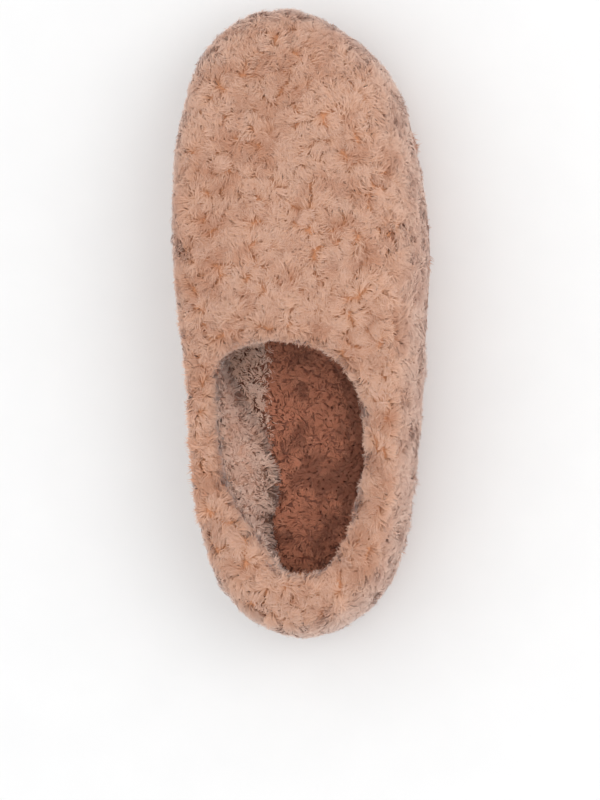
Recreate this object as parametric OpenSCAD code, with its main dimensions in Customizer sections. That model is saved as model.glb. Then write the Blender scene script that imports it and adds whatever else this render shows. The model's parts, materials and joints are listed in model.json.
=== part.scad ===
// Fluffy closed-back house slipper, right foot, built up as separate pieces.
// +Z is up, +Y points to the toe and +X to the outer side of the foot. The origin is on the floor, under
// the middle of the slipper's box. All sizes are in millimetres.
//
// The upper is drawn by ribs: vertical sections that stand around the slipper like the spokes of a fan.
// Each rib starts on the outer outline and ends at the lip of the foot opening. In a rib's own plane, t is
// the distance in from the outline and z the height.

/* [Sole] */
// Thickness of the rubber under the midsole, tread included
outsole_base = 4; // [3:0.5:5]
// Height of the outsole's side wall above the floor
cup_h = 11; // [8:0.5:12]
// Thickness of the outsole's side wall
cup_wall = 2.5; // [1.5:0.5:3]
// Height of the midsole's top face above the floor
midsole_top = 12; // [12:0.5:13]
// Distance of the sole's edge in from the widest line of the fur
sole_inset = 7; // [5:0.5:8]
// Depth of the tread grooves
groove_depth = 1.4; // [0.8:0.2:2]
// Width of the tread grooves
groove_w = 2.2; // [1.5:0.1:3]
// Distance between tread grooves
groove_pitch = 13; // [9:1:18]

/* [Footbed] */
// Thickness of the insole board
board_t = 1.8; // [1.2:0.2:2.4]
// Thickness of the footbed foam
foam_t = 5.2; // [4:0.2:6]
// Thickness of the heel cushion
heel_pad_t = 3; // [2:0.5:3.5]
// Thickness of the furry sock, backing and pile together
sock_t = 5; // [4:0.5:6]

/* [Upper] */
// Thickness of the outer fur, backing and pile together
fur_t = 9; // [7:0.5:9]
// Thickness of the furry lining
lining_t = 5; // [4:0.5:6]
// Distance from the vamp's outer face to its inner face
vamp_wall = 17; // [16:0.5:19]
// Radius of the rolled edge around the opening
rim_r = 8; // [7:0.5:9]
// Height of the slipper's widest line
belly_z = 26; // [24:1:28]
// Furthest that the rounded shoulder reaches in from the outline
shoulder_w = 48; // [40:1:55]
// Rise of the vamp towards the opening, per unit length
crown_slope = 0.14; // [0.08:0.01:0.2]
// Thickness of the toe puff and of the heel counter
stiffener_t = 1; // [0.8:0.1:1.2]
// Thickness of the topline tape
tape_t = 1.2; // [0.8:0.1:1.5]

/* [Stitching] */
// Thickness of the sewing thread
thread_d = 0.8; // [0.6:0.1:1]
// Length of one stitch
stitch_l = 4; // [3:0.5:5]

/* [Hidden] */
$fn = 32;

// Ribs, anticlockwise from the middle of the heel. Each row holds the rib's foot on the outline (x, y), its
// end at the lip of the opening (x, y), the height of the rolled edge there, and how far in from the
// outline the lining's face stands at footbed height.
RIBS = [
    [2, -135, 4, -106, 66, 21],
    [22.5, -127, 15, -103, 65, 21],
    [37, -111, 22, -93, 62, 21],
    [44.5, -87, 26, -79, 60, 20],
    [48.5, -57, 30, -58, 59, 19],
    [51, -27, 30, -38, 61, 20],
    [52, 4, 26, -23, 66, 21],
    [52.5, 39, 18, -15, 70, 21],
    [46.5, 76, 10, -11, 72, 21],
    [33, 111, 3, -9.5, 73, 20],
    [-5.5, 135, -4, -9, 73, 20],
    [-39.5, 122, -11, -9.5, 73, 20],
    [-53.5, 86, -18, -11, 72, 20],
    [-56, 48, -24, -13, 70, 21],
    [-53, 12, -31, -19, 66, 26],
    [-48, -22, -33, -34, 61, 32],
    [-46.5, -54, -31, -57, 59, 32],
    [-43.5, -84, -24, -78, 60, 31],
    [-36.5, -110, -13, -93, 62, 26],
    [-20, -128, -5, -103, 65, 22]
];
STEPS = 3;                       // drawn ribs for each row above
N = len(RIBS) * STEPS;
LATERAL_SEAM = 7 * STEPS;        // drawn rib of the seam on the outer side
MEDIAL_SEAM = 13 * STEPS;        // and on the inner side
PUFF = [8.4, 12];                // rows between which the toe puff reaches
COUNTER = [-2.4, 2.4];           // rows between which the heel counter reaches

SHOULDER_N = 2.3;                // squareness of the shoulder's curve
PATH_STEPS = 10;                 // steps from the belly up to the rolled edge
SHOULDER_SHARE = 0.6;            // share of those steps that the shoulder takes
FOAM_STEPS = 9;                  // steps that the foam takes, below the topline tape
PUFF_STEPS = 5;                  // steps that the toe puff takes
COUNTER_STEPS = 6;               // steps that the heel counter takes
HEM_Z = 8;                       // lower edge of the outer fur
HEM_TUCK = 5;                    // how far the hem pulls in under the belly
WALL_D = 30;                     // a rib this short is a plain side wall
VAMP_D = 60;                     // a rib this long is all vamp
LIP_TUCK = 2;                    // how far the facing's lower edge stands back from the lip
TAPE_GAP = 0.1;                  // gap between the tape's ends and the back seam, in drawn ribs
STITCH_SHARE = 0.8;              // share of a seam's length that its stitches cover
SEAM_LOW = 0.02;                 // steps at which a seam's stitches start
SEAM_HIGH = 0.92;                // and end

board_z = midsole_top + board_t;
foam_z = board_z + foam_t;

// ---- curves ----

function mix(a, b, x) = a + (b - a) * x;
function ease(x) = let (c = min(max(x, 0), 1)) c * c * (3 - 2 * c);
function catmull(a, b, c, d, x) = 0.5 * (2 * b + (c - a) * x + (2 * a - 5 * b + 4 * c - d) * x * x
    + (3 * b - a - 3 * c + d) * x * x * x);
function row(k) = RIBS[(k + 2 * len(RIBS)) % len(RIBS)];
function rib(i) = let (k = floor(i / STEPS), x = i / STEPS - k)
    catmull(row(k - 1), row(k), row(k + 1), row(k + 2), x);

outline_x = [for (i = [0 : N - 1]) rib(i)[0]];
outline_y = [for (i = [0 : N - 1]) rib(i)[1]];
middle = [(max(outline_x) + min(outline_x)) / 2, (max(outline_y) + min(outline_y)) / 2];

function rib_length(r) = norm([r[2] - r[0], r[3] - r[1]]);
// A point of drawn rib i, at t in from the outline and at height z.
function place(i, p) = let (r = rib(i), d = rib_length(r))
    [mix(r[0], r[2], p[0] / d) - middle[0], mix(r[1], r[3], p[0] / d) - middle[1], p[1]];
// The sole's outlines are the ribs' points at t.
SOLE_RIBS = [for (i = [0 : 2 * N - 1]) i / 2];
function outline(t) = [for (i = SOLE_RIBS) let (p = place(i, [t, 0])) [p[0], p[1]]];
function footbed_outline(gap) = [for (i = SOLE_RIBS)
    let (p = place(i, [rib(i)[5] + gap, 0])) [p[0], p[1]]];

// ---- the sections of the upper ----

function vampness(r) = ease((rib_length(r) - WALL_D) / (VAMP_D - WALL_D));
function shoulder(r) = min(shoulder_w, SHOULDER_SHARE * (rib_length(r) - rim_r));
function shoulder_z(r) = r[4] - crown_slope * (rib_length(r) - rim_r - shoulder(r));
function bend(a) = pow(a, 2 / SHOULDER_N);

// Outer face at step s, 0 at the belly and 1 at the top of the rolled edge.
function outer(r, s) = let (w = shoulder(r), top = shoulder_z(r))
    s < SHOULDER_SHARE
    ? let (a = 90 * s / SHOULDER_SHARE)
        [w * (1 - bend(cos(a))), mix(belly_z, top, bend(sin(a)))]
    : let (x = (s - SHOULDER_SHARE) / (1 - SHOULDER_SHARE))
        [mix(w, rib_length(r) - rim_r, x), mix(top, r[4], pow(x, 1.5))];
// Lower edge of the facing, where the outer fur is sewn to the lining.
function facing_end(r) = [rib_length(r) - LIP_TUCK, r[4] - vamp_wall];
// Inner face at the same step: a straight wall beside the opening, a ceiling under the vamp.
function inner(r, s) = mix(inner_wall(r, s), inner_vamp(r, s), vampness(r));
function inner_wall(r, s) = mix([r[5], belly_z], facing_end(r), s);
function inner_vamp(r, s) = let (w = shoulder(r), top = shoulder_z(r) - vamp_wall, end = facing_end(r))
    s < SHOULDER_SHARE
    ? let (a = 90 * s / SHOULDER_SHARE)
        [mix(w, r[5], bend(cos(a))), mix(belly_z, top, bend(sin(a)))]
    : let (x = (s - SHOULDER_SHARE) / (1 - SHOULDER_SHARE))
        [mix(w, end[0], x), mix(top, end[1], pow(x, 1.5))];

// A point at depth k under the outer face, on the way to the inner face.
function layer(r, s, k) = let (a = outer(r, s), b = inner(r, s)) mix(a, b, k / norm(b - a));
// Back of the lining: level with its face in a side wall, above it under the vamp.
function lining_back(r, s) = let (a = outer(r, s), b = inner(r, s))
    mix(b - [lining_t, 0], mix(b, a, lining_t / norm(b - a)), vampness(r));
// A point k beyond the inner face, in the hollow.
function beyond(r, s, k) = let (a = outer(r, s), b = inner(r, s)) mix(a, b, 1 + k / norm(b - a));
steps = [for (j = [0 : PATH_STEPS]) j / PATH_STEPS];

function between(i, span) = let (k = i / STEPS, n = len(RIBS))
    (k >= span[0] && k <= span[1]) || (k - n >= span[0] && k - n <= span[1]);
// Depth of the fur's inner face: it makes room for the stiffeners.
function fur_depth(i, j) = (between(i, PUFF) && j <= PUFF_STEPS)
    || (between(i, COUNTER) && j <= COUNTER_STEPS) ? fur_t - stiffener_t : fur_t;

// Each section is a strip: a list of [outer point, inner point] pairs.
function fur_strip(i) = let (r = rib(i), d = rib_length(r), end = facing_end(r), lip = [d, r[4] - rim_r])
    concat(
        [for (a = [-90, -60, -30])
            [[HEM_TUCK * (1 - cos(a)), belly_z + (belly_z - HEM_Z) * sin(a)],
             a == -90 ? [sole_inset, HEM_Z] : a == -60 ? [sole_inset, midsole_top]
             : [fur_depth(i, 0), midsole_top]]],
        [for (j = [0 : PATH_STEPS]) [outer(r, steps[j]), layer(r, steps[j], fur_depth(i, j))]],
        [for (a = [60, 30, 0])
            [[d - rim_r + rim_r * cos(a), r[4] - rim_r + rim_r * sin(a)],
             mix(layer(r, 1, fur_t), end, (90 - a) / 110)]],
        [[mix(lip, end, 0.7), end]]);
function foam_strip(i) = let (r = rib(i))
    concat([[[fur_t, midsole_top], [r[5] - lining_t, midsole_top]]],
        [for (j = [0 : FOAM_STEPS]) [layer(r, steps[j], fur_t), lining_back(r, steps[j])]]);
function lining_strip(i) = let (r = rib(i))
    concat([[[r[5] - lining_t, midsole_top], [r[5], midsole_top]]],
        [for (s = steps) [lining_back(r, s), inner(r, s)]]);
function stiffener_strip(i, count) = let (r = rib(i))
    concat([[[fur_t - stiffener_t, midsole_top], [fur_t, midsole_top]]],
        [for (j = [0 : count]) [layer(r, steps[j], fur_t - stiffener_t), layer(r, steps[j], fur_t)]]);
function tape_strip(i) = let (r = rib(i))
    [for (s = [steps[FOAM_STEPS], 1]) [layer(r, s, fur_t), layer(r, s, fur_t + tape_t)]];

// ---- solids from sections ----

// Two triangles for a quad, cut along its shorter diagonal, so that neighbours share the same surface.
function quad(p, a, b, c, d) = norm(p[a] - p[c]) < norm(p[b] - p[d])
    ? [[a, b, c], [a, c, d]] : [[a, b, d], [b, c, d]];

// A panel across the drawn ribs of a list. strips holds each rib's section, as pairs of points.
module panel(ribs, strips) {
    rings = len(ribs);
    pairs = len(strips[0]);
    side = 2 * pairs;
    points = [for (i = [0 : rings - 1]) each [
        for (j = [0 : pairs - 1]) place(ribs[i], strips[i][j][0]),
        for (j = [pairs - 1 : -1 : 0]) place(ribs[i], strips[i][j][1])]];
    skin = [for (i = [0 : rings - 2]) for (j = [0 : side - 1])
        let (k = (j + 1) % side, a = i * side, b = a + side)
        each quad(points, a + j, b + j, b + k, a + k)];
    start = [for (j = [0 : pairs - 2])
        each quad(points, j, j + 1, side - 2 - j, side - 1 - j)];
    o = (rings - 1) * side;
    finish = [for (j = [0 : pairs - 2])
        each quad(points, o + side - 1 - j, o + side - 2 - j, o + j + 1, o + j)];
    polyhedron(points, concat(skin, start, finish));
}

// One stitch: a short round bar from a to b.
module stitch(a, b) {
    v = b - a;
    translate(a) rotate([0, acos(v[2] / norm(v)), atan2(v[1], v[0])])
        cylinder(d = thread_d, h = norm(v), $fn = 16);
}

// A flat slab of an outline between two heights.
module slab(points, low, high) {
    translate([0, 0, low]) linear_extrude(high - low) polygon(points);
}

// ---- sole and footbed ----

TREAD_R = 95;                    // radius of the curved tread grooves
TREAD_EDGE = 8;                  // plain band around the tread
module tread() {
    intersection() {
        slab(outline(sole_inset + TREAD_EDGE), -1, groove_depth);
        union() for (y = [-8 : 8]) translate([0, y * groove_pitch - TREAD_R, -1]) difference() {
            cylinder(r = TREAD_R + groove_w / 2, h = groove_depth + 1);
            translate([0, 0, -1]) cylinder(r = TREAD_R - groove_w / 2, h = groove_depth + 3);
            translate([0, -TREAD_R / 2, 0]) cube([3 * TREAD_R, 2.2 * TREAD_R, 9], center = true);
        }
    }
}
module outsole() {
    color("tan") difference() {
        slab(outline(sole_inset), 0, cup_h);
        slab(outline(sole_inset + cup_wall), outsole_base, cup_h + 1);
        tread();
    }
}
module midsole() {
    color("ivory") slab(outline(sole_inset + cup_wall), outsole_base, midsole_top);
}
module insole_board() {
    color("wheat") slab(footbed_outline(0), midsole_top, board_z);
}
module board_stitches() {
    color("white") for (i = [0 : N - 1]) let (t = rib(i)[5] + BOARD_STITCH_GAP, z = board_z + thread_d / 2)
        stitch(place(i, [t, z]), place(i, [t + BOARD_STITCH, z]));
}

BOARD_STITCH_GAP = 0.6;          // from the lining to a stitch
BOARD_STITCH = 3;                // length of a stitch into the board
HEEL_PAD_AT = [8, -70];          // middle of the heel cushion
HEEL_PAD = [15, 24];             // half its width, and half its length
module heel_pad_shape(gap) {
    hull() for (s = [-1, 1]) translate(HEEL_PAD_AT + [0, s * (HEEL_PAD[1] - HEEL_PAD[0])])
        circle(HEEL_PAD[0] + gap, $fn = 48);
}
module heel_cushion() {
    color("skyblue") translate([0, 0, board_z]) linear_extrude(heel_pad_t) heel_pad_shape(0);
}
STITCH_ROOM = 4.4;               // channel that the board's stitches take around the foam
module footbed_foam() {
    color("lemonchiffon") difference() {
        slab(footbed_outline(STITCH_ROOM), board_z, foam_z);
        translate([0, 0, board_z - 1]) linear_extrude(heel_pad_t + 1) heel_pad_shape(0.2);
    }
}
module footbed_sock() {
    color("rosybrown") slab(footbed_outline(0.4), foam_z, foam_z + sock_t);
}

// ---- upper ----

function span(first, last) = [for (i = [first : last]) i];
VAMP = span(LATERAL_SEAM, MEDIAL_SEAM);
MEDIAL_QUARTER = span(MEDIAL_SEAM, N);
LATERAL_QUARTER = span(0, LATERAL_SEAM);
TAPE = concat([TAPE_GAP], span(1, N - 1), [N - TAPE_GAP]);

module fur_panel(ribs) {
    color("rosybrown") panel(ribs, [for (i = ribs) fur_strip(i)]);
}
module foam_panel(ribs) {
    color("khaki") panel(ribs, [for (i = ribs) foam_strip(i)]);
}
module lining_panel(ribs) {
    color("sienna") panel(ribs, [for (i = ribs) lining_strip(i)]);
}
module stiffener_panel(rows, count) {
    ribs = span(ceil(rows[0] * STEPS), floor(rows[1] * STEPS));
    color("white") panel(ribs, [for (i = ribs) stiffener_strip(i, count)]);
}
module vamp_fur() {
    fur_panel(VAMP);
}
module quarter_fur_medial() {
    fur_panel(MEDIAL_QUARTER);
}
module quarter_fur_lateral() {
    fur_panel(LATERAL_QUARTER);
}
module toe_puff() {
    stiffener_panel(PUFF, PUFF_STEPS);
}
module heel_counter() {
    stiffener_panel(COUNTER, COUNTER_STEPS);
}
module vamp_foam() {
    foam_panel(VAMP);
}
module quarter_foam_medial() {
    foam_panel(MEDIAL_QUARTER);
}
module quarter_foam_lateral() {
    foam_panel(LATERAL_QUARTER);
}
module vamp_lining() {
    lining_panel(VAMP);
}
module quarter_lining_medial() {
    lining_panel(MEDIAL_QUARTER);
}
module quarter_lining_lateral() {
    lining_panel(LATERAL_QUARTER);
}
module topline_tape() {
    color("white") panel(TAPE, [for (i = TAPE) tape_strip(i)]);
}

// ---- stitching ----

// The stitch line around the opening follows the facing's lower edge, just off it.
function topline_point(i) = place(i, facing_end(rib(i)) + [0.6, -0.2] * thread_d);
module topline_stitches() {
    color("white") for (i = [0 : N - 1]) stitch(topline_point(i), topline_point(i + STITCH_SHARE));
}
// A seam's stitches run up the lining's face along one drawn rib.
function seam_point(i, s) = let (r = rib(i)) place(i, beyond(r, s, thread_d / 2));
module seam_stitches(i, low, high) {
    count = round(norm(seam_point(i, high) - seam_point(i, low)) / (stitch_l / STITCH_SHARE));
    pitch = (high - low) / count;
    color("white") for (k = [0 : count - 1])
        stitch(seam_point(i, low + k * pitch), seam_point(i, low + (k + STITCH_SHARE) * pitch));
}
module side_seam_stitches() {
    seam_stitches(LATERAL_SEAM, SEAM_LOW, SEAM_HIGH);
    seam_stitches(MEDIAL_SEAM, SEAM_LOW, SEAM_HIGH);
}
module back_seam_stitches() {
    seam_stitches(0, SEAM_LOW, SEAM_HIGH);
}

outsole();
midsole();
insole_board();
board_stitches();
heel_cushion();
footbed_foam();
footbed_sock();
vamp_fur();
quarter_fur_medial();
quarter_fur_lateral();
toe_puff();
heel_counter();
vamp_foam();
quarter_foam_medial();
quarter_foam_lateral();
vamp_lining();
quarter_lining_medial();
quarter_lining_lateral();
topline_tape();
topline_stitches();
side_seam_stitches();
back_seam_stitches();
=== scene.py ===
import json
import math

import bpy
import numpy as np
from mathutils import Matrix, Vector
from mathutils.bvhtree import BVHTree
from mathutils.kdtree import KDTree


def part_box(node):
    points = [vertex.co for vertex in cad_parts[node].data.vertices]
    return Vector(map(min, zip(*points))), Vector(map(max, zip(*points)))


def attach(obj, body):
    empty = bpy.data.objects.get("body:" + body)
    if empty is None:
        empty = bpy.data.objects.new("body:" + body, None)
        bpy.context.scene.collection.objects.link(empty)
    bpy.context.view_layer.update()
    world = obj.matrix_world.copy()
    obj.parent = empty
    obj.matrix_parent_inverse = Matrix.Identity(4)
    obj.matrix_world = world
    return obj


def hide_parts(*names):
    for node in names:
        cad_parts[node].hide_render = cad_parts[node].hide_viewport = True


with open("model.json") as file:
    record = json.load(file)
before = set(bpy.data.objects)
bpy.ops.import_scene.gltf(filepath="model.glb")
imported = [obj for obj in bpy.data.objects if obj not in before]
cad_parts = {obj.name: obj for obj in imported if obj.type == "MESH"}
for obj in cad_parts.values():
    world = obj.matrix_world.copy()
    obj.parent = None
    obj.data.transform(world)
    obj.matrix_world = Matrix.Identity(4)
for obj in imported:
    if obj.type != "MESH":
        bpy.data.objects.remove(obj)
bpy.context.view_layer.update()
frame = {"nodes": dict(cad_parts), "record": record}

# The slipper's fur is built strand by strand. Roots are scattered over the CAD panels' open faces, and
# every strand follows the lock that it belongs to, so that the pile falls into curls with gaps between.
# Under the pile, each panel's backing is its CAD solid, drawn in to where the pile is rooted.

MM = 0.001

FUR_NODES = ("vamp_fur", "quarter_fur_medial", "quarter_fur_lateral")
LINING_NODES = ("vamp_lining", "quarter_lining_medial", "quarter_lining_lateral")
SOCK_NODE = "footbed_sock"

WELD = 0.01 * MM                # points closer than this are one
TOUCHING = 0.1 * MM             # faces closer than this touch
ROOT_SHARE = 0.55               # the roots' greatest depth, as a share of the solid's thickness

STRAND_STEPS = 4                # segments in a strand
TAPER = (0.85, 1, 1, 0.75, 0)   # a strand's width at each step, as a share of its full width
SOFTNESS = 0.94                 # how far strands are shaded like the skin that they grow from
MAX_STRANDS = 24000             # in one piece
TOE_PILE = 35 * MM              # beyond this, only the share in_toe of a style's strands grows

# Random fields are sums of plane waves.
WAVES = 14
WAVE_LENGTHS = (0.6, 1.6)       # shortest and longest, as shares of the field's own length
FIELD_SCALE = 0.7               # keeps most values between -1 and 1

# How locks and strands vary in every pile. Angles are in radians, and a pair is a lowest and a highest share.
SMALL_SWIRL = 0.35              # size of the small swirls, as a share of the large ones
SMALL_FLOW = 0.6                # and their strength
LOCK_TURN = 1.5                 # how far locks curl, from place to place
LOCK_STRAY_TURN = 0.5           # and at random
HILL = 0.8                      # size of the pile's hills, as a share of the swirls
HILL_HEIGHT = 0.6               # share of relief that goes from place to place
LOCK_HEIGHT = 0.5               # and at random
LOCK_LEAN = (0.65, 1.25)
STRAND_STRAY = 0.4              # how far a strand leaves its lock's way
STRAND_TURN = 0.6               # and its curl
STRAND_LEAN = (0.75, 1.2)
STRAND_PULL = (0.6, 1)
PULL_CURVE = 1.3                # above 1, the pull to the lock comes late along the strand
RISEN = 0.8                     # a strand is at its full height at this share of its length
ROOT_RUN = 0.35                 # how fast a strand runs sideways at its root
RUN_GAIN = 1.3                  # and what it gains towards its tip
RIBBON_WIDTHS = (0.7, 1.3)
RIBBON_TWIST = 0.3

# The colour's spread: over large patches, over small ones, by strand; then by lock and by strand.
LARGE_PATCH, LARGE_TINT = 45 * MM, 0.6
SMALL_PATCH, SMALL_TINT = 13 * MM, 0.7
STRAND_TINT = 0.1
LOCK_SHADE, STRAND_SHADE = 0.16, 0.1

# How each pile grows. locks and strands are counts per square millimetre, and swirl is the size of the
# swirls that the locks lie in. stray turns locks at random, and combed pulls them along a direction. over is
# how far past the CAD face the tips reach, or short of it where it is negative. relief and fuzz are how much
# that varies by lock and by strand, and lean is how far a strand runs sideways. clump draws strands to their
# lock, lock_width is the lock's width, frizz bends single strands, and patches is how strongly the colour
# varies.
FUR = dict(
    locks=0.1, strands=3.9, in_toe=1, swirl=15 * MM, stray=0.45, combed=(0, 0, -1.0), over=-1.3 * MM,
    relief=0.4 * MM, lean=5.5 * MM, clump=0.27, lock_width=1.2 * MM, fuzz=0.4 * MM,
    frizz=0.18 * MM, width=0.3 * MM, patches=0.5)
LINING = dict(
    FUR, locks=0.3, strands=2.8, in_toe=0.3, swirl=12 * MM, combed=(0, 0, 0), over=-0.3 * MM,
    relief=0.4 * MM, lean=3.0 * MM, clump=0.35, lock_width=0.6 * MM, width=0.34 * MM)
SOCK = dict(LINING, strands=3.2, patches=0.8)

FUR_DEPTH = 3.2 * MM            # from the CAD face down to the roots
LINING_DEPTH = 3.5 * MM
FUR_REACH = 3 * MM              # a face with another solid nearer than this grows no pile
LINING_REACH = 0.3 * MM         # the lining's pile also fills the gap around the sock
SOCK_REACH = 7 * MM

SOCK_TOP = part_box(SOCK_NODE)[1][2]
SOCK_EDGE = -16 * MM            # the sock's pale edge, in the lining's painted light, lies on the inner side of this line,
SOCK_EDGE_END = 10 * MM         # from the heel up to here
EDGE_STRAY = 1.2 * MM           # how far its strands stray over the line
EDGE_CLIMB = 1.5 * MM           # how far that edge climbs towards the wall,
EDGE_SLOPE = 8 * MM             # over this width,
EDGE_FADE = 12 * MM             # and over this length at its end
SOCK_PAINTED_SHADE = (11 * MM, 24 * MM)  # painted shade: the sock darkens towards the outer side, between these places,
SOCK_PAINTED_SHADE_TINT = 0.9            # by this
WALL_LEAN = 2.5 * MM            # how far the wall's lowest strands lean out over the sock
WALL_FOOT = (9 * MM, 2 * MM)    # heights over the sock where that lean starts and is full
SEAM_REACH = 6 * MM             # strands this near the topline's stitches lean over them
SEAM_PULL = 0.8                 # by this share of the way,
SEAM_RISE = 1.8 * MM            # and rise by this


# ---- the CAD panels' open faces ----

class Skin:
    """Triangles in metres, with smooth normals and the pile's depth at each point."""

    def __init__(self, points, triangles):
        self.points = points
        self.triangles = triangles
        self.normals = vertex_normals(points, triangles)
        self.depth = np.zeros(len(points))


def unit(v):
    return v / np.maximum(np.linalg.norm(v, axis=-1, keepdims=True), 1e-12)


def face_normals(points, triangles):
    a, b, c = (points[triangles[:, k]] for k in range(3))
    return np.cross(b - a, c - a)


def vertex_normals(points, triangles):
    total = np.zeros_like(points)
    for k in range(3):
        np.add.at(total, triangles[:, k], face_normals(points, triangles))
    return unit(total)


def node_mesh(name):
    """The node's welded points and its triangles."""
    mesh = frame["nodes"][name].data
    mesh.calc_loop_triangles()
    points = np.empty(len(mesh.vertices) * 3)
    mesh.vertices.foreach_get("co", points)
    triangles = np.empty(len(mesh.loop_triangles) * 3, int)
    mesh.loop_triangles.foreach_get("vertices", triangles)
    return weld(points.reshape(-1, 3), triangles.reshape(-1, 3))


def weld(points, triangles):
    keys, first, inverse = np.unique(
        np.round(points / WELD).astype(np.int64), axis=0, return_index=True, return_inverse=True)
    triangles = inverse.reshape(-1)[triangles]
    a, b, c = triangles.T
    return points[first], triangles[(a != b) & (b != c) & (a != c)]


def tree(parts):
    """A ray tree over several (points, triangles) pairs."""
    points = np.concatenate([p for p, t in parts])
    starts = np.cumsum([0] + [len(p) for p, t in parts[:-1]])
    triangles = np.concatenate([t + s for (p, t), s in zip(parts, starts)])
    return BVHTree.FromPolygons(points.tolist(), triangles.tolist())


def open_faces(name, mesh, reach):
    """True for each triangle of a node with no other solid on it, or in front of it nearer than reach."""
    points, triangles = mesh
    others = tree([m for n, m in solids.items() if n != name])
    middles = points[triangles].mean(axis=1)
    normals = unit(face_normals(points, triangles))
    return np.array([
        others.ray_cast(Vector(m - n * TOUCHING), Vector(n), TOUCHING + reach)[0] is None
        for m, n in zip(middles, normals)])


def root_depth(points, normals, solid, depth):
    """The depth of the roots under each point: depth, or less where the solid is thin."""
    room = np.full(len(points), 3 * depth)
    for i, (p, n) in enumerate(zip(points, normals)):
        hit = solid.ray_cast(Vector(p - n * TOUCHING), Vector(-n), 3 * depth)
        if hit[0] is not None:
            room[i] = hit[3]
    return np.minimum(depth, ROOT_SHARE * room)


def skin_of(names, reach, depth):
    """The open faces of several nodes as one skin, with the pile's depth at each point."""
    meshes = [solids[n] for n in names]
    shown = [m[1][open_faces(n, m, reach)] for n, m in zip(names, meshes)]
    starts = np.cumsum([0] + [len(p) for p, t in meshes[:-1]])
    points, triangles = weld(
        np.concatenate([p for p, t in meshes]),
        np.concatenate([t + s for t, s in zip(shown, starts)]))
    skin = Skin(points, triangles)
    used = np.unique(triangles)
    skin.depth[used] = root_depth(points[used], skin.normals[used], tree(meshes), depth)
    return skin


# ---- smooth random fields ----

def waves(seed, length):
    """Random plane waves of about the given length, for field()."""
    rng = np.random.default_rng(seed)
    ways = unit(rng.normal(size=(WAVES, 3)))
    return (ways * (2 * math.pi / (length * rng.uniform(*WAVE_LENGTHS, (WAVES, 1)))),
            rng.uniform(0, 2 * math.pi, WAVES))


def field(points, seed, length):
    """A smooth random value at each point, mostly between -1 and 1."""
    ways, phases = waves(seed, length)
    return np.sin(points @ ways.T + phases).sum(axis=1) / math.sqrt(WAVES / 2) * FIELD_SCALE


def vector_field(points, seed, length):
    return np.stack([field(points, seed + k, length) for k in range(3)], axis=1)


# ---- strands ----

def scatter(skin, density, rng):
    """Random points on the skin: position, smooth normal and depth of the pile."""
    corners = skin.points[skin.triangles]
    areas = np.linalg.norm(face_normals(skin.points, skin.triangles), axis=1) / 2
    count = int(areas.sum() / MM ** 2 * density)
    chosen = np.searchsorted(np.cumsum(areas) / areas.sum(), rng.random(count))
    u, v = rng.random((2, count))
    u, v = np.where(u + v > 1, 1 - u, u), np.where(u + v > 1, 1 - v, v)
    share = np.stack([1 - u - v, u, v], axis=1)[:, :, None]
    t = skin.triangles[chosen]
    return ((corners[chosen] * share).sum(axis=1),
            unit((skin.normals[t] * share).sum(axis=1)),
            (skin.depth[t][:, :, None] * share).sum(axis=1)[:, 0])


def turned(v, axis, angle):
    """Each v, at right angles to its axis, turned about it by its angle."""
    angle = angle[:, None]
    return v * np.cos(angle) + np.cross(axis, v) * np.sin(angle)


def strand_paths(points, normals, depth, way, curl, over, lean):
    """Strands that rise from the backing and bend over along way, which turns by curl as they go."""
    steps = np.linspace(0, 1, STRAND_STEPS + 1)
    paths = np.empty((len(points), len(steps), 3))
    base = points - normals * depth[:, None]
    along = np.zeros_like(points)
    for k, u in enumerate(steps):
        rise = math.sin(min(u / RISEN, 1) * math.pi / 2)
        paths[:, k] = base + normals * ((depth + over) * rise)[:, None] + along
        run = ROOT_RUN + RUN_GAIN * u
        along = along + turned(way, normals, curl * u) * (lean * run / STRAND_STEPS)[:, None]
    return paths


def nearest(points, centres):
    found = KDTree(len(centres))
    for i, c in enumerate(centres):
        found.insert(c, i)
    found.balance()
    return np.array([found.find(p)[1] for p in points])


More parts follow.
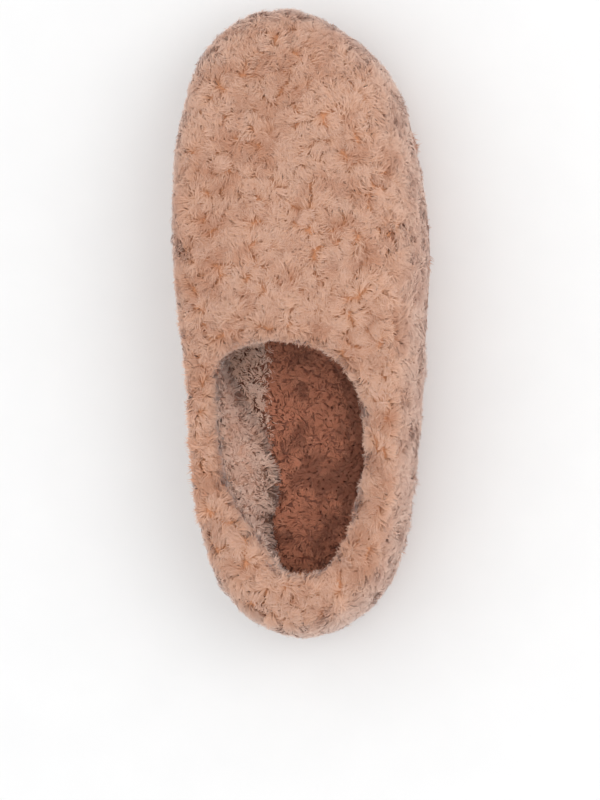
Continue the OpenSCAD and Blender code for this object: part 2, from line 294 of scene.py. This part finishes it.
def grow(skin, style, seed):
    """Curled locks over a skin. Returns each strand's path, its normal and its colour values."""
    rng = np.random.default_rng(seed)

    # The locks' own paths.
    centres, centre_normals, centre_depth = scatter(skin, style["locks"], rng)
    count = len(centres)
    flow = vector_field(centres, seed + 10, style["swirl"]) + SMALL_FLOW * vector_field(
        centres, seed + 20, style["swirl"] * SMALL_SWIRL)
    flow = flow + style["stray"] * rng.normal(size=flow.shape) + np.array(style["combed"])
    way = unit(np.cross(np.cross(centre_normals, flow), centre_normals))
    curl = rng.normal(size=count) * LOCK_STRAY_TURN + LOCK_TURN * field(centres, seed + 30, style["swirl"])
    height = style["over"] + style["relief"] * (
        HILL_HEIGHT * field(centres, seed + 40, style["swirl"] * HILL) + LOCK_HEIGHT * rng.normal(size=count))
    lean = style["lean"] * rng.uniform(*LOCK_LEAN, count)
    lock_paths = strand_paths(centres, centre_normals, centre_depth, way, curl, height, lean)

    # Each strand goes roughly the way of its nearest lock, and is drawn to it towards the tip.
    roots, normals, depth = scatter(skin, style["strands"], rng)
    kept = (roots[:, 1] < TOE_PILE) | (rng.random(len(roots)) < style["in_toe"])
    roots, normals, depth = roots[kept], normals[kept], depth[kept]
    lock = nearest(roots, centres)
    n = len(roots)
    own_way = way[lock] + STRAND_STRAY * rng.normal(size=(n, 3))
    own_way = unit(np.cross(np.cross(normals, own_way), normals))
    paths = strand_paths(
        roots, normals, depth, own_way, curl[lock] + STRAND_TURN * rng.normal(size=n),
        height[lock] + style["fuzz"] * rng.normal(size=n), lean[lock] * rng.uniform(*STRAND_LEAN, n))
    u = np.linspace(0, 1, STRAND_STEPS + 1)
    pull = style["clump"] * rng.uniform(*STRAND_PULL, n)[:, None, None] * (u ** PULL_CURVE)[None, :, None]
    spread = rng.normal(size=(n, 1, 3)) * style["lock_width"]
    paths = paths * (1 - pull) + (lock_paths[lock] + spread) * pull
    paths += np.cumsum(rng.normal(size=paths.shape) * style["frizz"] * u[None, :, None], axis=1)

    # tint goes from place to place, and shade from lock to lock.
    tint = 0.5 + style["patches"] * (
        LARGE_TINT * field(roots, seed + 50, LARGE_PATCH) + SMALL_TINT * field(roots, seed + 60, SMALL_PATCH))
    tint = tint + STRAND_TINT * rng.normal(size=n)
    shade = 0.5 + LOCK_SHADE * rng.normal(size=count)[lock] + STRAND_SHADE * rng.normal(size=n)
    return paths, normals, np.stack([tint, shade], axis=1).clip(0, 1)


def ribbons(name, paths, normals, values, width, material):
    """Strands as thin tapered ribbons that face away from the skin, with their colour values."""
    n, rows, _ = paths.shape
    rng = np.random.default_rng(len(paths))
    run = unit(np.gradient(paths, axis=1))
    side = unit(np.cross(run, normals[:, None, :] + RIBBON_TWIST * rng.normal(size=(n, 1, 3))))
    half = side * (width / 2) * rng.uniform(*RIBBON_WIDTHS, (n, 1, 1)) * np.array(TAPER)[None, :, None]
    left, right = paths[:, :-1] - half[:, :-1], paths[:, :-1] + half[:, :-1]
    points = np.concatenate([np.stack([left, right], axis=2).reshape(n, -1, 3), paths[:, -1:]], axis=1)
    per = 2 * (rows - 1) + 1
    quads = np.array([[2 * k, 2 * k + 1, 2 * k + 3, 2 * k + 2] for k in range(rows - 2)])
    tip = np.array([2 * rows - 4, 2 * rows - 3, 2 * rows - 2])
    starts = (np.arange(n) * per)[:, None]
    loops = np.concatenate([quads.reshape(1, -1) + starts, tip[None, :] + starts], axis=1)
    sizes = np.tile([4] * (rows - 2) + [3], n)
    mesh = bpy.data.meshes.new(name)
    mesh.vertices.add(n * per)
    mesh.vertices.foreach_set("co", points.reshape(-1))
    mesh.loops.add(loops.size)
    mesh.loops.foreach_set("vertex_index", loops.reshape(-1))
    mesh.polygons.add(len(sizes))
    mesh.polygons.foreach_set("loop_start", np.concatenate([[0], np.cumsum(sizes)[:-1]]))
    mesh.polygons.foreach_set("use_smooth", np.ones(len(sizes), bool))
    mesh.update(calc_edges=True)
    facing = np.cross(side, run)
    soft = unit(normals[:, None, :] * SOFTNESS + unit(facing) * (1 - SOFTNESS))
    soft = np.concatenate([np.repeat(soft[:, :-1], 2, axis=1), soft[:, -1:]], axis=1)
    mesh.normals_split_custom_set_from_vertices(soft.reshape(-1, 3))
    up = np.append(np.repeat(np.linspace(0, 1, rows)[:-1], 2), 1)
    colour = np.ones((n, per, 4), np.float32)
    colour[:, :, 0] = up
    colour[:, :, 1:3] = values[:, None, :]
    pile = mesh.color_attributes.new("pile", "FLOAT_COLOR", "POINT")
    pile.data.foreach_set("color", colour.reshape(-1))
    mesh.materials.append(material)
    piece = bpy.data.objects.new(name, mesh)
    bpy.context.collection.objects.link(piece)
    return piece


def pile_pieces(name, pile, width, material, cells):
    """Splits grown strands, along the slipper, into pieces."""
    paths, normals, values = pile
    order = np.argsort(paths[:, 0, 1])
    for k, part in enumerate(np.array_split(order, max(cells, math.ceil(len(order) / MAX_STRANDS)))):
        piece = ribbons(f"{name}_{k + 1:02d}", paths[part], normals[part], values[part], width, material)
        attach(piece, "root")


def ramped(x, zero, one):
    """0 at zero, 1 at one, straight between them and held beyond them."""
    return np.clip((x - zero) / (one - zero), 0, 1)


def over_the_sock(pile):
    """The lining's pile leans out over the gap around the sock."""
    paths, normals, values = pile
    lean = WALL_LEAN * ramped(paths[:, 0, 2], SOCK_TOP + WALL_FOOT[0], SOCK_TOP + WALL_FOOT[1])
    u = np.linspace(0, 1, paths.shape[1])
    paths += normals[:, None, :] * (lean[:, None] * u[None, :])[:, :, None]
    return pile


def over_the_seam(pile, seam):
    """Strands beside the topline's stitches lean over them."""
    paths, normals, values = pile
    towards = seam[nearest(paths[:, 0], seam)] - paths[:, 0]
    near = ramped(np.linalg.norm(towards, axis=1), SEAM_REACH, SEAM_REACH / 4)
    u = np.linspace(0, 1, paths.shape[1])
    lean = (SEAM_PULL * towards + SEAM_RISE * normals) * near[:, None]
    paths += lean[:, None, :] * u[None, :, None]
    return pile


def sock_parts(pile, seed):
    """The sock's pile in two parts: its middle, in painted shade that deepens towards the outer side, and its
    pale inner edge, in the lining's painted light, which climbs to meet the lining."""
    paths, normals, values = pile
    rng = np.random.default_rng(seed)
    x, y = paths[:, 0, 0], paths[:, 0, 1]
    # Painted shade: the tint rises towards the outer side, where the outer wall shades the sock, and pulls it
    # to the sock's dark tone.
    values[:, 0] = (values[:, 0] + SOCK_PAINTED_SHADE_TINT * ramped(x, *SOCK_PAINTED_SHADE)).clip(0, 1)
    edge = (x + EDGE_STRAY * rng.normal(size=len(x)) < SOCK_EDGE) & (y < SOCK_EDGE_END)
    climb = EDGE_CLIMB * ramped(SOCK_EDGE - x, 0, EDGE_SLOPE) * ramped(SOCK_EDGE_END - y, 0, EDGE_FADE)
    u = np.linspace(0.5, 1, paths.shape[1])
    paths[:, :, 2] += np.where(edge, climb, 0)[:, None] * u[None, :]
    return [[part[chosen] for part in (paths, normals, values)] for chosen in (~edge, edge)]


# ---- materials ----

ROUGHNESS_SPREAD = 0.08
RELIEF_DEPTH = 0.3 * MM


def new_material(name):
    material = bpy.data.materials.new(name)
    material.use_nodes = True
    nodes = material.node_tree.nodes
    return material, nodes, material.node_tree.links, nodes["Principled BSDF"]


def ramp(nodes, stops):
    node = nodes.new("ShaderNodeValToRGB")
    elements = node.color_ramp.elements
    while len(elements) < len(stops):
        elements.new(0.5)
    for element, (place, colour) in zip(elements, stops):
        element.position = place
        element.color = (*colour, 1)
    return node


def blended(nodes, links, factor, colour, tone, blend):
    """A colour socket blended with one fixed tone."""
    node = nodes.new("ShaderNodeMix")
    node.data_type = "RGBA"
    node.blend_type = blend
    links.new(factor, node.inputs[0])
    links.new(colour, node.inputs[6])
    node.inputs[7].default_value = (*tone, 1)
    return node.outputs[2]


def pile_material(name, stops, warm, pale, sheen):
    """Strand colour from root to tip, shifted lock by lock towards a warm and a pale tone."""
    material, nodes, links, shader = new_material(name)
    pile = nodes.new("ShaderNodeAttribute")
    pile.attribute_name = "pile"
    split = nodes.new("ShaderNodeSeparateColor")
    links.new(pile.outputs["Color"], split.inputs[0])
    base = ramp(nodes, stops)
    links.new(split.outputs[0], base.inputs[0])
    towards_warm = ramp(nodes, [(0.35, (0, 0, 0)), (0.95, (0.55, 0.55, 0.55))])
    links.new(split.outputs[1], towards_warm.inputs[0])
    towards_pale = ramp(nodes, [(0.4, (0, 0, 0)), (1, (0.7, 0.7, 0.7))])
    links.new(split.outputs[2], towards_pale.inputs[0])
    colour = blended(nodes, links, towards_warm.outputs[0], base.outputs[0], warm, "MULTIPLY")
    colour = blended(nodes, links, towards_pale.outputs[0], colour, pale, "SCREEN")
    links.new(colour, shader.inputs["Base Color"])
    shader.inputs["Roughness"].default_value = 0.75
    shader.inputs["Specular IOR Level"].default_value = 0.25
    shader.inputs["Sheen Weight"].default_value = sheen
    shader.inputs["Sheen Roughness"].default_value = 0.5
    return material


def speckled(name, low, high, scale, roughness, bump, stretch=(1, 1, 1)):
    """A matte surface whose tone, roughness and relief follow one noise."""
    material, nodes, links, shader = new_material(name)
    where = nodes.new("ShaderNodeTexCoord")
    stretched = nodes.new("ShaderNodeMapping")
    stretched.inputs["Scale"].default_value = stretch
    links.new(where.outputs["Object"], stretched.inputs[0])
    grain = nodes.new("ShaderNodeTexNoise")
    grain.inputs["Scale"].default_value = scale
    grain.inputs["Detail"].default_value = 6
    links.new(stretched.outputs[0], grain.inputs["Vector"])
    tone = ramp(nodes, [(0.3, low), (0.7, high)])
    links.new(grain.outputs[0], tone.inputs[0])
    links.new(tone.outputs[0], shader.inputs["Base Color"])
    rough = nodes.new("ShaderNodeMapRange")
    rough.inputs["To Min"].default_value = roughness - ROUGHNESS_SPREAD
    rough.inputs["To Max"].default_value = roughness + ROUGHNESS_SPREAD
    links.new(grain.outputs[0], rough.inputs[0])
    links.new(rough.outputs[0], shader.inputs["Roughness"])
    relief = nodes.new("ShaderNodeBump")
    relief.inputs["Strength"].default_value = bump
    relief.inputs["Distance"].default_value = RELIEF_DEPTH
    links.new(grain.outputs[0], relief.inputs["Height"])
    links.new(relief.outputs[0], shader.inputs["Normal"])
    return material


# ---- the backings under the pile ----

def backing(name, node, reach, depth, material):
    """The node's solid with its open faces drawn in to where the pile is rooted."""
    points, triangles = solids[node][0].copy(), solids[node][1]
    shown = triangles[open_faces(node, (points, triangles), reach)]
    normals = vertex_normals(points, shown)
    used = np.unique(shown)
    solid = tree([(points, triangles)])
    points[used] -= normals[used] * root_depth(points[used], normals[used], solid, depth)[:, None]
    mesh = bpy.data.meshes.new(name)
    mesh.from_pydata(points.tolist(), [], triangles.tolist())
    mesh.polygons.foreach_set("use_smooth", np.ones(len(triangles), bool))
    mesh.materials.append(material)
    piece = bpy.data.objects.new(name, mesh)
    bpy.context.collection.objects.link(piece)
    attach(piece, "root")
    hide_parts(node)
    return piece


# ---- build ----

solids = {name: node_mesh(name) for name in frame["nodes"] if not name.endswith("stitches")}

fur_material = pile_material(
    "curly_fur", [(0.0, (0.7, 0.32, 0.17)), (0.45, (0.7, 0.385, 0.25)), (1.0, (0.73, 0.475, 0.36))],
    warm=(0.68, 0.46, 0.33), pale=(0.14, 0.1, 0.09), sheen=0.6)
# Painted light: the lining's tones are paler than the outer fur's, to light up the shaded inner walls.
painted_light_lining_material = pile_material(
    "lining_pile", [(0.0, (0.74, 0.42, 0.3)), (0.5, (0.82, 0.54, 0.42)), (1.0, (0.88, 0.64, 0.53))],
    warm=(0.86, 0.74, 0.66), pale=(0.14, 0.11, 0.1), sheen=0.5)
# Painted shade: the sock's tones are darker and redder than the lining's and stand in for the shade deep in
# the cavity. Its warm tone is the dark one that the painted shade towards the outer side pulls to.
painted_shade_sock_material = pile_material(
    "painted_shade_sock_pile", [(0.0, (0.47, 0.155, 0.09)), (0.5, (0.57, 0.21, 0.12)), (1.0, (0.64, 0.265, 0.16))],
    warm=(0.2, 0.12, 0.1), pale=(0.14, 0.08, 0.06), sheen=0.15)
BACKING_GRAIN = (900, 0.9, 0.8)     # the noise's scale, the roughness and the relief
fur_backing = speckled("fur_backing", (0.66, 0.28, 0.13), (0.76, 0.36, 0.19), *BACKING_GRAIN)
lining_backing = speckled("lining_backing", (0.6, 0.34, 0.24), (0.7, 0.42, 0.31), *BACKING_GRAIN)
# Painted shade: the sock's backing is dark, like its pile.
sock_backing = speckled("sock_backing", (0.4, 0.16, 0.1), (0.5, 0.21, 0.14), *BACKING_GRAIN)

for node in FUR_NODES:
    backing(node.replace("fur", "backing"), node, FUR_REACH, FUR_DEPTH, fur_backing)
for node in LINING_NODES:
    backing(f"{node}_backing", node, LINING_REACH, LINING_DEPTH, lining_backing)
backing("sock_backing", SOCK_NODE, SOCK_REACH, LINING_DEPTH, sock_backing)

fur_skin = skin_of(FUR_NODES, FUR_REACH, FUR_DEPTH)
lining_skin = skin_of(LINING_NODES, LINING_REACH, LINING_DEPTH)
sock_skin = skin_of([SOCK_NODE], SOCK_REACH, LINING_DEPTH)
seam = node_mesh("topline_stitches")[0]
fur_pile = over_the_seam(grow(fur_skin, FUR, seed=11), seam)
lining_pile = over_the_seam(over_the_sock(grow(lining_skin, LINING, seed=23)), seam)
pile_pieces("fur_pile", fur_pile, FUR["width"], fur_material, cells=6)
pile_pieces("lining_pile", lining_pile, LINING["width"], painted_light_lining_material, cells=2)
sock_middle, sock_edge = sock_parts(grow(sock_skin, SOCK, seed=37), seed=41)
pile_pieces("painted_shade_sock_pile", sock_middle, SOCK["width"], painted_shade_sock_material, cells=2)
# The sock's pale inner edge takes the lining's painted light, where the sock's painted shade stops.
pile_pieces("sock_edge_pile", sock_edge, SOCK["width"], painted_light_lining_material, cells=1)

# The CAD pieces that stay, by slot: two tones, then the noise between them, the roughness and the relief,
# and how the noise is stretched.
PLAIN = {
    "sole_rubber": ((0.3, 0.17, 0.12), (0.36, 0.21, 0.15), 700, 0.62, 0.35),
    "eva_foam": ((0.72, 0.66, 0.55), (0.8, 0.74, 0.64), 1500, 0.7, 0.5),
    "fibre_board": ((0.5, 0.4, 0.26), (0.62, 0.52, 0.36), 500, 0.85, 0.4, (1, 0.2, 1)),
    "gel_cushion": ((0.22, 0.38, 0.5), (0.3, 0.46, 0.58), 300, 0.4, 0.2),
    "upper_foam": ((0.74, 0.68, 0.5), (0.86, 0.82, 0.68), 1200, 0.9, 0.9),
    "stiffener": ((0.74, 0.74, 0.7), (0.84, 0.84, 0.8), 600, 0.55, 0.25),
    "tape": ((0.6, 0.54, 0.46), (0.76, 0.7, 0.62), 900, 0.85, 0.7, (3, 3, 0.4)),
    "thread": ((0.6, 0.4, 0.3), (0.7, 0.5, 0.4), 2500, 0.7, 0.8, (1, 1, 3)),
}
plain_materials = {slot: speckled(slot, *look) for slot, look in PLAIN.items()}
slot_of = {entry["node"]: entry["material_slot"] for entry in frame["record"]["subparts"]}
replaced = set(FUR_NODES) | set(LINING_NODES) | {SOCK_NODE}
for node, piece in frame["nodes"].items():
    if node not in replaced:
        piece.data.materials.clear()
        piece.data.materials.append(plain_materials[slot_of[node]])

# ---- floor, light and camera ----

FLOOR_SIDE = 6.0


def floor():
    bpy.ops.mesh.primitive_grid_add(size=FLOOR_SIDE, x_subdivisions=4, y_subdivisions=4)
    piece = bpy.context.object
    piece.name = "floor"
    piece.data.materials.append(speckled("floor", (0.825, 0.828, 0.83), (0.84, 0.843, 0.845), 40, 0.9, 0.02))


def softbox(name, place, aim, size, power):
    lamp = bpy.data.lights.new(name, "AREA")
    lamp.shape = "DISK"
    lamp.size = size
    lamp.energy = power
    piece = bpy.data.objects.new(name, lamp)
    piece.location = place
    piece.rotation_mode = "QUATERNION"
    piece.rotation_quaternion = (Vector(aim) - Vector(place)).to_track_quat("-Z", "Y")
    bpy.context.collection.objects.link(piece)


floor()
world = bpy.data.worlds.new("studio")
bpy.context.scene.world = world
world.use_nodes = True
world.node_tree.nodes["Background"].inputs[0].default_value = (1, 1, 1, 1)
world.node_tree.nodes["Background"].inputs[1].default_value = 1.0
softbox("key", place=(1.3, 0.2, 1.7), aim=(0, 0, 0), size=1.4, power=11)
softbox("fill", place=(-0.9, 0.4, 1.8), aim=(0, 0, 0), size=2.2, power=3)

TILT = math.radians(13)         # the camera leans this far to the outer side
DISTANCE = 1.9
SENSOR = 36                     # in millimetres, along the picture's longer side
SHOWN_HEIGHT = 0.341            # height of the picture at the slipper
AIM = Vector((0.0, -0.033, 0.03))


def camera():
    data = bpy.data.cameras.new("camera")
    piece = bpy.data.objects.new("camera", data)
    back = Vector((math.sin(TILT), 0, math.cos(TILT)))
    right = Vector((0, 1, 0)).cross(back).normalized()
    turn = Matrix((right, back.cross(right), back)).transposed()
    piece.location = AIM + back * DISTANCE
    piece.rotation_mode = "QUATERNION"
    piece.rotation_quaternion = turn.to_quaternion()
    data.sensor_width = SENSOR
    data.lens = SENSOR * DISTANCE / SHOWN_HEIGHT
    data.clip_start = 0.1
    data.clip_end = 20
    bpy.context.collection.objects.link(piece)
    bpy.context.scene.camera = piece


camera()
bpy.context.scene.view_settings.view_transform = "Standard"
